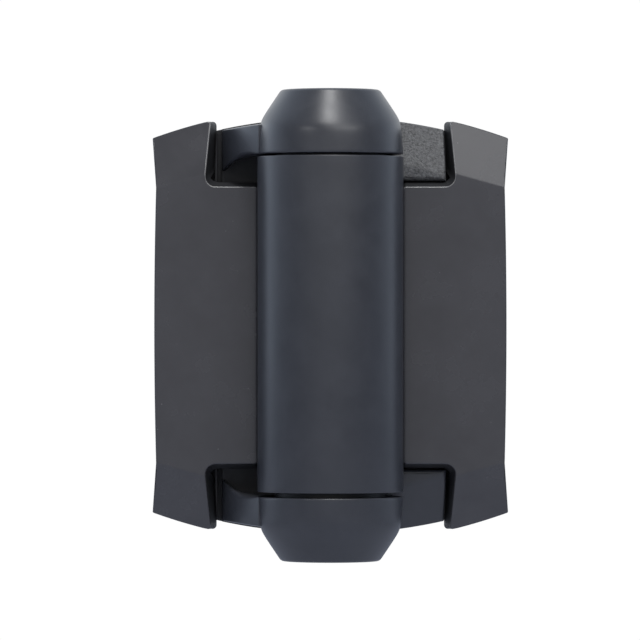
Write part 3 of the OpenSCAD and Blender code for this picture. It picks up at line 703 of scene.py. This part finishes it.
def round_cutter(radius, z0, z1):
    """A plain round tool on the hinge axis."""
    turn = np.linspace(0, 2 * math.pi, 128, endpoint=False)
    table = np.stack([round_axis(radius, turn, z) for z in (z0, z1)])
    return Shape().add(table, wrap_columns=True, caps=(0, -1)).object("round")


# %% Shoulders
SHOULDER_FRONT = 11.5  # depth of a shoulder's flat front
SHOULDER_IN, SHOULDER_TOP = 14.0, 58.55  # its side in the barrel's wall, and its outer top
SHOULDER_CREASE = (CLEAR_R, SHOULDER_Z + 4.9)
SHOULDER_EDGE, SHOULDER_LOW_EDGE = 0.5, 1.3


def shoulder_front(xz):
    """The front's depth: bent back past the crease."""
    return bent_back(xz, SHOULDER_CREASE, SHOULDER_FRONT)


def shoulder():
    """The upper panel between the barrel and the ear, from the notch base to the arched edge."""
    n = 24
    corners = [(SHOULDER_IN, SHOULDER_Z), (shoulder_side(SHOULDER_Z), SHOULDER_Z),
               (shoulder_side(SHOULDER_TOP), SHOULDER_TOP), (SHOULDER_IN, arch_z(SHOULDER_IN))]
    sides = [line(p, q, n) for p, q in zip(corners, corners[1:] + corners[:1])]
    sides[2][:, 1] = arch_z(sides[2][:, 0])
    loop = np.concatenate(sides)
    radius = np.full(4 * n, SHOULDER_EDGE)
    radius[:n + 1] = SHOULDER_LOW_EDGE
    radius[n + 1:n + 7] = np.linspace(1.2, SHOULDER_EDGE, 6)
    patch, rim = panel_front(loop, [n] * 4, shoulder_front, radius)
    back = rim[-1].copy()
    back[:, 1] = BACK - 1.0
    made = Shape().add(patch).add(np.concatenate([rim, back[None]]), wrap_columns=True)
    return made.add(back[None], caps=(0,)).object("shoulder")


# %% The gate leaf as one piece
clear = [round_cutter(CLEAR_R, BARREL_TOP, 80), round_cutter(CLEAR_R, -80, BARREL_BOTTOM)]
plates = joined("gate_plate", plate_shells() + [shoulder(), reflected(shoulder(), 2)],
                plate_cutters() + ear_slots() + clear)
# The upper shoulder has the grained finish, number 1, with painted glints where the top light
# falls, and what the cover hides the dull one, 2, whose darker tone is painted shade
finish_where(plates, 1, lambda x, y, z:
             (z > SHOULDER_Z) & (y < PLATE_FRONT - 0.5) & (x < EAR_FOOT - 0.1))
finish_where(plates, 2, lambda x, y, z: (y > PLATE_FRONT - 0.1) & (y < BACK - FLANGE_T + 0.1))
# The barrel's hollows are wider by the lap, so that only the plate's own walls show in them
core = joined("barrel_core", [barrel().object("barrel")], edge_pockets(LAP))
gate_leaf = merged("gate_leaf_body", [plates, core])
finish(gate_leaf, "gate", ["gate_leaf"])

# %% [markdown]
# ## The post leaf
#
# The post leaf holds the two end knuckles. Each is a cylinder whose end is cut to a cone that
# sits a little behind the hinge axis, so the bevel is deeper in front than at the sides. Taking
# the smaller of the two radii at each angle gives that form, and a soft minimum gives the
# crease its rounding. Two arms sweep back from the knuckles to the plate. The bores are lists of
# radius and height, from the end face inwards.

# %% End knuckles
FACE_R, FACE_BACK = 14.7, 1.5  # the flat end face, and how far it lies behind the axis
BEVEL, DRAFT = 0.68, 0.08  # how much wider the bevel and the side get for each mm inwards
SOFT = 0.9  # width over which the crease between them is rounded


def knuckle_radius(turn, z):
    """Radius at an angle and height: soft minimum of the side and of the cone set back in Y.

    The soft minimum of a and b is 0.5 (a + b - sqrt((a - b)^2 + soft^2)).
    """
    side = BARREL_R - DRAFT * (z - KNUCKLE_Z)
    cone = FACE_R + BEVEL * (TOP - z)
    across = FACE_BACK * np.cos(turn)
    bevel = FACE_BACK * np.sin(turn) + np.sqrt(cone ** 2 - across ** 2)
    return 0.5 * (side + bevel - np.sqrt((side - bevel) ** 2 + SOFT ** 2))


def knuckle(bore):
    """A closed grid round the axis: rounded lower edge, side, bevel, end face, stepped bore."""
    turn, rows = np.linspace(0, 2 * math.pi, 160, endpoint=False), 30
    low, high = quarter(0.5)[::-1], quarter(0.7, 5)
    inset = np.concatenate([low[:, 0], np.zeros(rows), high[:, 0]])
    z = np.concatenate([KNUCKLE_Z + low[:, 1], np.linspace(KNUCKLE_Z + 1.0, TOP - 1.2, rows),
                        TOP - high[:, 1]])
    radius = knuckle_radius(turn, z[:, None]) - inset[:, None]
    outside = round_axis(radius, turn, z[:, None])
    inside = [round_axis(r, turn, h) for r, h in bore]
    return Shape().add(np.concatenate([outside, inside]), wrap_rows=True, wrap_columns=True)


# Radii in the upper knuckle, for the ring, the clip, the drum and the stem, and its steps' heights
RING_R, CLIP_R, DRUM_R, STEM_R = 11.35, 11.9, 9.7, 7.0
CLIP_TOP, CLIP_END, RING_END, DRUM_END = 69.6, 68.5, 61.05, 54.3
UPPER_BORE = [(RING_R + 0.4, TOP), (RING_R, TOP - 0.4), (RING_R, CLIP_TOP), (CLIP_R, CLIP_TOP),
              (CLIP_R, CLIP_END), (RING_R, CLIP_END), (RING_R, RING_END), (DRUM_R, RING_END),
              (DRUM_R, DRUM_END), (STEM_R, DRUM_END), (STEM_R + 0.3, KNUCKLE_Z)]
# Radii in the lower knuckle, for the plug, the pin's head and the pin, and its steps' heights
PLUG_R, HEAD_R, PIN_R = 8.05, 7.7, 4.025
PLUG_END, HEAD_END = 67.05, 63.95
LOWER_BORE = [(PLUG_R + 0.3, TOP), (PLUG_R, TOP - 0.3), (PLUG_R, PLUG_END), (HEAD_R, PLUG_END),
              (HEAD_R, HEAD_END), (PIN_R, HEAD_END), (PIN_R + 0.2, KNUCKLE_Z)]


# %% Arms
ARM_ROOT, ARM_FOOT = np.array([21.3, -3.5]), np.array([32.5, PLATE_FRONT])
ARM_FULL = 2.0  # how far the pull of an arm's curve stands out from its chord
ARM_STEP, ARM_DRAFT = 0.2, 0.05  # how far its end lies under the arch, and its fall per mm
ARM_FLARE, FLARE_X = 5.6, 23.5  # how far its lower edge spreads at the foot, and from where


def arm_top(xy):
    """Height of an arm's end: under the arched edge, and lower towards the front by its draft."""
    return arch_z(xy[:, 0]) - ARM_STEP - ARM_DRAFT * (BACK - xy[:, 1])


def arm_low(xy):
    """Height of an arm's lower edge: it falls by flare t^2 from the knuckle to the foot."""
    t = np.clip((xy[:, 0] - FLARE_X) / (ARM_FOOT[0] - FLARE_X), 0, 1)
    return KNUCKLE_Z - ARM_FLARE * t ** 2


def arm():
    """The upper arm, from its plan: a slightly full curve in front, and a straight back.

    The curve is (1 - t)^2 foot + 2 t (1 - t) pull + t^2 root, with pull just outside the chord.
    """
    t = np.linspace(0, 1, 25)[:, None]
    along = unit(ARM_FOOT - ARM_ROOT)
    pull = (ARM_ROOT + ARM_FOOT) / 2 + ARM_FULL * np.array([along[1], -along[0]])
    sweep = (1 - t) ** 2 * ARM_FOOT + 2 * t * (1 - t) * pull + t ** 2 * ARM_ROOT
    front = np.concatenate([sweep, [(19.2, -3.5), (14.6, 2.6), (9.5, 10.5), (0, 14.2)]])
    back = line((ARM_FOOT[0], BACK - LAP), (0, BACK - LAP), len(front) - 1)
    plan = np.concatenate([front, [(0, BACK - LAP)], back[::-1]])[::-1]
    normal, half = outward(plan), len(front)
    low_edge = np.interp(plan[:, 0], [20, 22, 27], [0.3, 0.5, 1.6])
    low_edge[plan[:, 1] >= BACK - 0.1] = 0.2
    rows = []
    for inset, short in quarter(1.0, 5)[::-1]:
        at = plan - normal * (inset * low_edge)[:, None]
        rows.append(np.column_stack([at, arm_low(at) + short * low_edge]))
    for inset, short in quarter(0.35):
        at = plan - normal * inset
        rows.append(np.column_stack([at, arm_top(at) - short]))
    made = Shape().add(np.stack(rows), wrap_columns=True)
    for row in (rows[0], rows[-1]):
        made.add(np.stack([row[:half], row[half:][::-1]]))
    return made.object("arm")


# %% The post leaf as one piece
clear = [round_cutter(CLEAR_R, -KNUCKLE_Z, KNUCKLE_Z)]
plates = joined("post_plate", plate_shells(), plate_cutters() + ear_slots() + clear)
# What the cover hides has the dull finish, number 1, whose darker tone is painted shade in the
# notches beside the arms
finish_where(plates, 1, lambda x, y, z: y < BACK - FLANGE_T + 0.1)
upper = knuckle(UPPER_BORE).object("upper_knuckle")
lower = reflected(knuckle(LOWER_BORE).object("lower_knuckle"), 2)
post_leaf = merged("post_leaf_body", [plates, arm(), reflected(arm(), 2), upper, lower])
finish(reflected(post_leaf, 0), "post", ["post_leaf"])

# %% [markdown]
# ## The closing spring
#
# The spring is one wire: a tang that points at the axis, a tight bend, sixteen turns, and the
# same again at the top. The gate holds its lower end and the post, through the dial, its upper
# end. In the hinge each turn of the wire follows the gate by its own share of the swing; the
# wire built here stays as it is at rest.

# %% Spring
COIL_R, WIRE_R, TURNS = 13.6, 1.7, 16
BEND_R, TANG_START = 3.06, 6.45  # the bends, and where a tang ends beside the pin
SPRING_LOW, SPRING_HIGH = -36.5, 35.2  # heights of the two tangs


def spring_path():
    """The wire's middle line: tang and bend, the coils (r cos a, r sin a, z), bend and tang."""
    ring = COIL_R - BEND_R
    bend_at = math.asin(BEND_R / ring)
    t = np.linspace(-math.pi / 2, bend_at, 12)
    bend = BEND_R * np.stack([np.cos(t), np.sin(t)], -1) + (ring * math.cos(bend_at), BEND_R)
    foot = np.concatenate([line((TANG_START, 0), bend[0], 4), bend])
    a = bend_at + 2 * math.pi * TURNS * np.linspace(0, 1, 48 * TURNS + 1)
    coil = round_axis(COIL_R, a, np.linspace(SPRING_LOW, SPRING_HIGH, len(a)))
    c, s = math.cos(2 * bend_at), math.sin(2 * bend_at)
    head = (foot[::-1] * [1, -1]) @ np.array([[c, s], [-s, c]])
    foot, head = np.insert(foot, 2, SPRING_LOW, 1), np.insert(head, 2, SPRING_HIGH, 1)
    return np.concatenate([foot, coil[1:-1], head])


def tube(path, radius, sides=14):
    """A round wire on a path that stays nearly level, with its two ends slightly rounded."""
    along = unit(np.gradient(path, axis=0))
    across = unit(np.cross(along, (0, 0, 1)))
    up = np.cross(across, along)
    turn = np.linspace(0, 2 * math.pi, sides, endpoint=False)[:, None]

    def ring(i, r, on=0.0):
        """A circle round the path's point i, moved on along the path."""
        return path[i] + on * along[i] + r * (np.cos(turn) * across[i] + np.sin(turn) * up[i])

    rows = [ring(0, radius - 0.3), ring(0, radius, 0.3)]
    rows += [ring(i, radius) for i in range(1, len(path) - 1)]
    rows += [ring(-1, radius, -0.3), ring(-1, radius - 0.3)]
    return Shape().add(np.stack(rows), wrap_columns=True, caps=(0, -1))


spring = tube(spring_path(), WIRE_R).object("closing_spring_wire")
spring.data.shade_smooth()
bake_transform(spring)
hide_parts("torsion_spring")
print("spring wire:", len(spring.data.polygons), "faces,", TURNS, "turns")

# %% [markdown]
# ## Materials
#
# Nearly every piece of this hinge is black plastic, yet no two look alike: the difference is
# in the gloss and in the grain of the mould. Each material starts from a near-black and gets
# its own roughness, grain and drift of tone. The patterns are measured in millimetres on the
# object's own coordinates, so they stay put when a piece moves.


# %% Colours and nodes
def colour(code):
    """An sRGB hex colour as the linear values that Blender's sockets take."""
    srgb = np.array([int(code[i:i + 2], 16) for i in (1, 3, 5)]) / 255
    linear = np.where(srgb <= 0.04045, srgb / 12.92, ((srgb + 0.055) / 1.055) ** 2.4)
    return (*linear.tolist(), 1.0)


def emptied(owner):
    """The node tree of a material or of the world, without the nodes that it starts with."""
    owner.use_nodes = True
    owner.node_tree.nodes.clear()
    return owner.node_tree


def add(tree, kind, inputs=(), **settings):
    """A node of any kind: its settings, and for each input a value or the socket that feeds it."""
    node = tree.nodes.new(kind)
    for name, value in settings.items():
        setattr(node, name, value)
    for name, value in dict(inputs).items():
        if isinstance(value, bpy.types.NodeSocket):
            tree.links.new(value, node.inputs[name])
        else:
            node.inputs[name].default_value = value
    return node


def per_mm(size):
    """The scale of a pattern in metres whose features are size millimetres wide."""
    return 1 / (size * MM)


SCUFF_MM, DUST_MM = 0.35, 5.5  # width of a scuff, and how far specks of dust lie apart


def surface(name, dark, light, rough, drift_mm=9.0, grain_mm=0.5, grain_depth=0.01, scratch=0.0,
            specks=0.0, pits=0.0, **shader):
    """A material whose tone and gloss drift over drift_mm, with a raised grain of grain_mm.

    rough is its lowest and highest roughness. scratch adds fine scuffs, specks adds dust, pits
    adds the small round cells of an etched mould, and shader sets the shader's own sockets.
    """
    material = bpy.data.materials.new(name)
    tree = emptied(material)
    place = add(tree, "ShaderNodeTexCoord").outputs["Object"]
    drift = add(tree, "ShaderNodeTexNoise", {
        "Vector": place, "Scale": per_mm(drift_mm), "Detail": 4.0, "Roughness": 0.6}).outputs["Fac"]
    height = add(tree, "ShaderNodeTexNoise", {
        "Vector": place, "Scale": per_mm(grain_mm), "Detail": 2.5,
        "Roughness": 0.55}).outputs["Fac"]
    tone = add(tree, "ShaderNodeMapRange", {"Value": drift, "From Min": 0.32, "From Max": 0.68})
    blend = add(tree, "ShaderNodeMix", {0: tone.outputs[0], 6: colour(dark), 7: colour(light)},
                data_type="RGBA").outputs[2]
    if pits:
        cells = add(tree, "ShaderNodeTexVoronoi", {
            "Vector": place, "Scale": per_mm(pits), "Randomness": 1.0},
            feature="SMOOTH_F1").outputs["Distance"]
        height = add(tree, "ShaderNodeMath", {0: height, 1: cells}, operation="ADD").outputs[0]
    if scratch:
        stretched = add(tree, "ShaderNodeMapping", {
            "Vector": place, "Scale": (1.0, 1.0, 0.06), "Rotation": (0.3, 0.5, 0.2)}).outputs[0]
        scuffs = add(tree, "ShaderNodeTexNoise", {
            "Vector": stretched, "Scale": per_mm(SCUFF_MM), "Detail": 1.0}).outputs["Fac"]
        cuts = add(tree, "ShaderNodeMapRange", {
            "Value": scuffs, "From Min": 0.66, "From Max": 0.74, "To Max": scratch}).outputs[0]
        height = add(tree, "ShaderNodeMath", {0: height, 1: cuts}, operation="SUBTRACT").outputs[0]
    if specks:
        dust = add(tree, "ShaderNodeTexVoronoi", {
            "Vector": place, "Scale": per_mm(DUST_MM)}).outputs["Distance"]
        dot = add(tree, "ShaderNodeMapRange", {"Value": dust, "From Min": 0.035, "From Max": 0.02})
        blend = add(tree, "ShaderNodeMix", {0: dot.outputs[0], 6: blend, 7: colour("#6d6d70")},
                    data_type="RGBA").outputs[2]
    gloss = add(tree, "ShaderNodeMapRange", {
        "Value": drift, "From Min": 0.3, "From Max": 0.7,
        "To Min": rough[0], "To Max": rough[1]}).outputs[0]
    bump = add(tree, "ShaderNodeBump", {
        "Height": height, "Strength": 1.0, "Distance": grain_depth * MM}).outputs[0]
    sockets = {"Base Color": blend, "Roughness": gloss, "Normal": bump, **shader}
    skin = add(tree, "ShaderNodeBsdfPrincipled", sockets).outputs[0]
    add(tree, "ShaderNodeOutputMaterial", {"Surface": skin})
    return material


# %% The finishes
# Glass-filled nylon from a satin mould: black, softly shiny, with a fine even tooth.
satin_nylon = surface("satin_moulded_nylon", "#33353b", "#393b41", (0.33, 0.40), grain_mm=0.45,
                      grain_depth=0.012, scratch=0.25, IOR=1.53)
# The same nylon from an etched mould: the coarse tooth of the upper shoulder breaks up light,
# and its pale flecks are painted glints and a painted sheen from the top light.
# The real tooth is about 0.3 mm wide. Its cells are drawn at 0.4 mm, so that they show in the
# render.
grain_with_painted_glints = surface("etched_nylon_with_painted_glints", "#2e2f31", "#6c6d6f", (0.34, 0.50), drift_mm=0.8,
                        grain_mm=0.3, grain_depth=0.09, pits=0.4, IOR=1.53)
# The nylon where the mould was left as eroded: matt, because nobody sees it under the cover. Its
# darker tone is painted shade, for the hollows beside the barrel that lie in shadow.
nylon_matt_painted_shade = surface("eroded_nylon_with_painted_shade", "#1a1b1e", "#212226", (0.62, 0.72), grain_mm=0.5,
                     grain_depth=0.03, IOR=1.53)
# ABS from a polished mould: smooth and glossy, with the faint waves of orange peel and dust.
glossy_abs = surface("glossy_moulded_abs", "#3b3b3f", "#424246", (0.22, 0.29), drift_mm=14.0,
                     grain_mm=1.6, grain_depth=0.006, scratch=0.15, specks=1.0, IOR=1.53)
# The same ABS, paler and smooth along the upper edges: a painted highlight, the bright line that
# light draws there.
abs_painted_edge_highlight = surface("edge_painted_highlight_abs", "#77777a", "#8e8d8b", (0.24, 0.32), drift_mm=5.0, IOR=1.53)
# Nylon inside the hinge, as moulded and never handled.
plain_nylon = surface("plain_moulded_nylon", "#1d1e21", "#26272a", (0.45, 0.55), grain_mm=0.4,
                      IOR=1.53)
# Acetal bushes and washers, turned from white rod: waxy, slightly see-through at thin edges.
white_acetal = surface("turned_white_acetal", "#d9d7cf", "#e8e6de", (0.35, 0.45), grain_mm=0.3,
                       grain_depth=0.004, IOR=1.48)
# Stainless steel turned on a lathe: bright, with the finest of marks.
turned_steel = surface("turned_stainless_steel", "#b4b6b9", "#c4c6c8", (0.22, 0.34), grain_mm=0.25,
                       grain_depth=0.004, scratch=0.3, Metallic=1.0)
# Hard-drawn spring wire: greyer, with the dull film of its drawing soap.
spring_wire = surface("drawn_spring_wire", "#7f8287", "#96999d", (0.30, 0.42), grain_mm=0.3,
                      grain_depth=0.004, Metallic=1.0)
# Nitrile rubber: matt and very dark.
nitrile = surface("moulded_nitrile_rubber", "#121213", "#19191a", (0.60, 0.72), grain_mm=0.35,
                  IOR=1.52)


def dress(name, *materials):
    """Gives a piece its materials, in the order of its faces' material numbers."""
    slots = bpy.data.objects[name].data.materials
    while len(slots) < len(materials):
        slots.append(None)
    for number, material in enumerate(materials):
        slots[number] = material


for cover_skin in ("post_cover_skin", "gate_cover_skin"):
    dress(cover_skin, glossy_abs, nylon_matt_painted_shade, abs_painted_edge_highlight)
dress("gate_leaf_body", satin_nylon, grain_with_painted_glints, nylon_matt_painted_shade)
dress("post_leaf_body", satin_nylon, nylon_matt_painted_shade)
dress("closing_spring_wire", spring_wire)
FINISH = {"stainless_steel": turned_steel, "acetal": white_acetal, "moulded_nylon": plain_nylon,
          "spring_steel": spring_wire, "seal_rubber": nitrile, "post_leaf_nylon": satin_nylon,
          "gate_leaf_nylon": satin_nylon, "cover_plastic": glossy_abs}
for subpart in frame["record"]["subparts"]:
    dress(subpart["node"], FINISH[subpart["material_slot"]])
for washer in ("thrust_washer", "upper_washer"):
    dress(washer, plain_nylon)

# %% [markdown]
# ## Light, floor and camera
#
# The hinge stands in a white tent, as small parts are photographed: an even pale glow, a lamp
# over the top that catches the upper bevel, a softbox up on the right, and two small lamps aimed
# at the edges. The thin bright line along the covers' upper edges is a painted highlight. The
# camera looks straight along +Y from far away, so the barrel keeps the same width from end to end.


# %% The tent
scene = bpy.context.scene
scene.view_settings.view_transform = "Standard"
scene.world = bpy.data.worlds.new("tent")
tree = emptied(scene.world)
toward = add(tree, "ShaderNodeTexCoord").outputs["Generated"]
parts = add(tree, "ShaderNodeSeparateXYZ", {"Vector": toward})
# How bright the tent is from its front wall, at the camera, round to its back wall: each
# stop is a direction's Y, and the tent's colour there at half strength. The back wall is white.
LEVEL = 2.0
WALLS = ((-1.0, "#9c9c9e"), (-0.9, "#939496"), (-0.7, "#6a6c70"), (-0.4, "#5c5f65"),
         (-0.1, "#7a808a"), (0.15, "#a4b0c0"), (0.4, "#d8e6fa"), (0.7, "#eef6ff"),
         (1.0, "#bcbcbc"))
# The tent's roof is dimmer than its walls, and so is its right side
ROOF_SHARE, RIGHT_SHARE = 0.55, 0.72
band = add(tree, "ShaderNodeValToRGB", {"Fac": add(tree, "ShaderNodeMapRange", {
    "Value": parts.outputs["Y"], "From Min": -1.0, "From Max": 1.0}).outputs[0]})
ramp = band.color_ramp
for place, code in WALLS[1:-1]:
    ramp.elements.new((place + 1) / 2)
for stop, (place, code) in zip(ramp.elements, WALLS):
    stop.position, stop.color = (place + 1) / 2, colour(code)
roof = add(tree, "ShaderNodeMapRange", {
    "Value": parts.outputs["Z"], "From Min": 0.25, "From Max": 0.6,
    "To Min": LEVEL, "To Max": ROOF_SHARE * LEVEL}).outputs[0]
right = add(tree, "ShaderNodeMapRange", {
    "Value": parts.outputs["X"], "From Min": 0.1, "From Max": 0.7,
    "To Min": 1.0, "To Max": RIGHT_SHARE}).outputs[0]
level = add(tree, "ShaderNodeMath", {0: roof, 1: right}, operation="MULTIPLY").outputs[0]
add(tree, "ShaderNodeOutputWorld", {"Surface": add(tree, "ShaderNodeBackground", {
    "Color": band.outputs[0], "Strength": level}).outputs[0]})


# %% Lamps
def softbox(name, place, size, power):
    """A rectangular lamp at a place, turned to face the hinge."""
    lamp = bpy.data.lights.new(name, "AREA")
    lamp.shape, lamp.size, lamp.size_y, lamp.energy = "RECTANGLE", size[0], size[1], power
    forward = unit(np.subtract((0, 0, 0), place))
    yaw, pitch = math.atan2(forward[1], forward[0]), math.asin(forward[2])
    box = placed(name, lamp)
    box.location = place
    box.rotation_euler = (math.pi / 2 + pitch, 0, yaw - math.pi / 2)


# Places and sizes in metres, and power in watts
softbox("top_lamp", (-0.01, -0.32, 1.0), (0.16, 0.36), 4.5)
softbox("right_lamp", (0.315, -0.913, 0.87), (0.7, 0.7), 4.4)
for side, x in (("left", -0.6), ("right", 0.6)):
    softbox(side + "_edge_lamp", (x, -0.75, 0.6), (0.1, 0.1), 0.8)

# %% Floor and camera
FLOOR_HALF, FLOOR_Z = 3, -0.28  # in metres
floor_mesh = bpy.data.meshes.new("floor")
corners = [(-1, -1), (1, -1), (1, 1), (-1, 1)]
floor_mesh.from_pydata([(FLOOR_HALF * x, FLOOR_HALF * y, FLOOR_Z) for x, y in corners], [],
                       [(0, 1, 2, 3)])
floor = placed("floor", floor_mesh)
pale = bpy.data.materials.new("pale_paper")
tree = emptied(pale)
paper = add(tree, "ShaderNodeBsdfDiffuse", {"Color": colour("#c6c8d2")}).outputs[0]
add(tree, "ShaderNodeOutputMaterial", {"Surface": paper})
floor_mesh.materials.append(pale)

# A long lens from 1.7 m away, a little aside, so that the hinge sits in the picture as it should
camera = placed("camera", bpy.data.cameras.new("camera"))
scene.camera = camera
camera.location = (-0.0031, -1.7, 0.0016)
camera.rotation_euler = (math.pi / 2, 0, 0)
camera.data.lens, camera.data.sensor_width = 322, 36
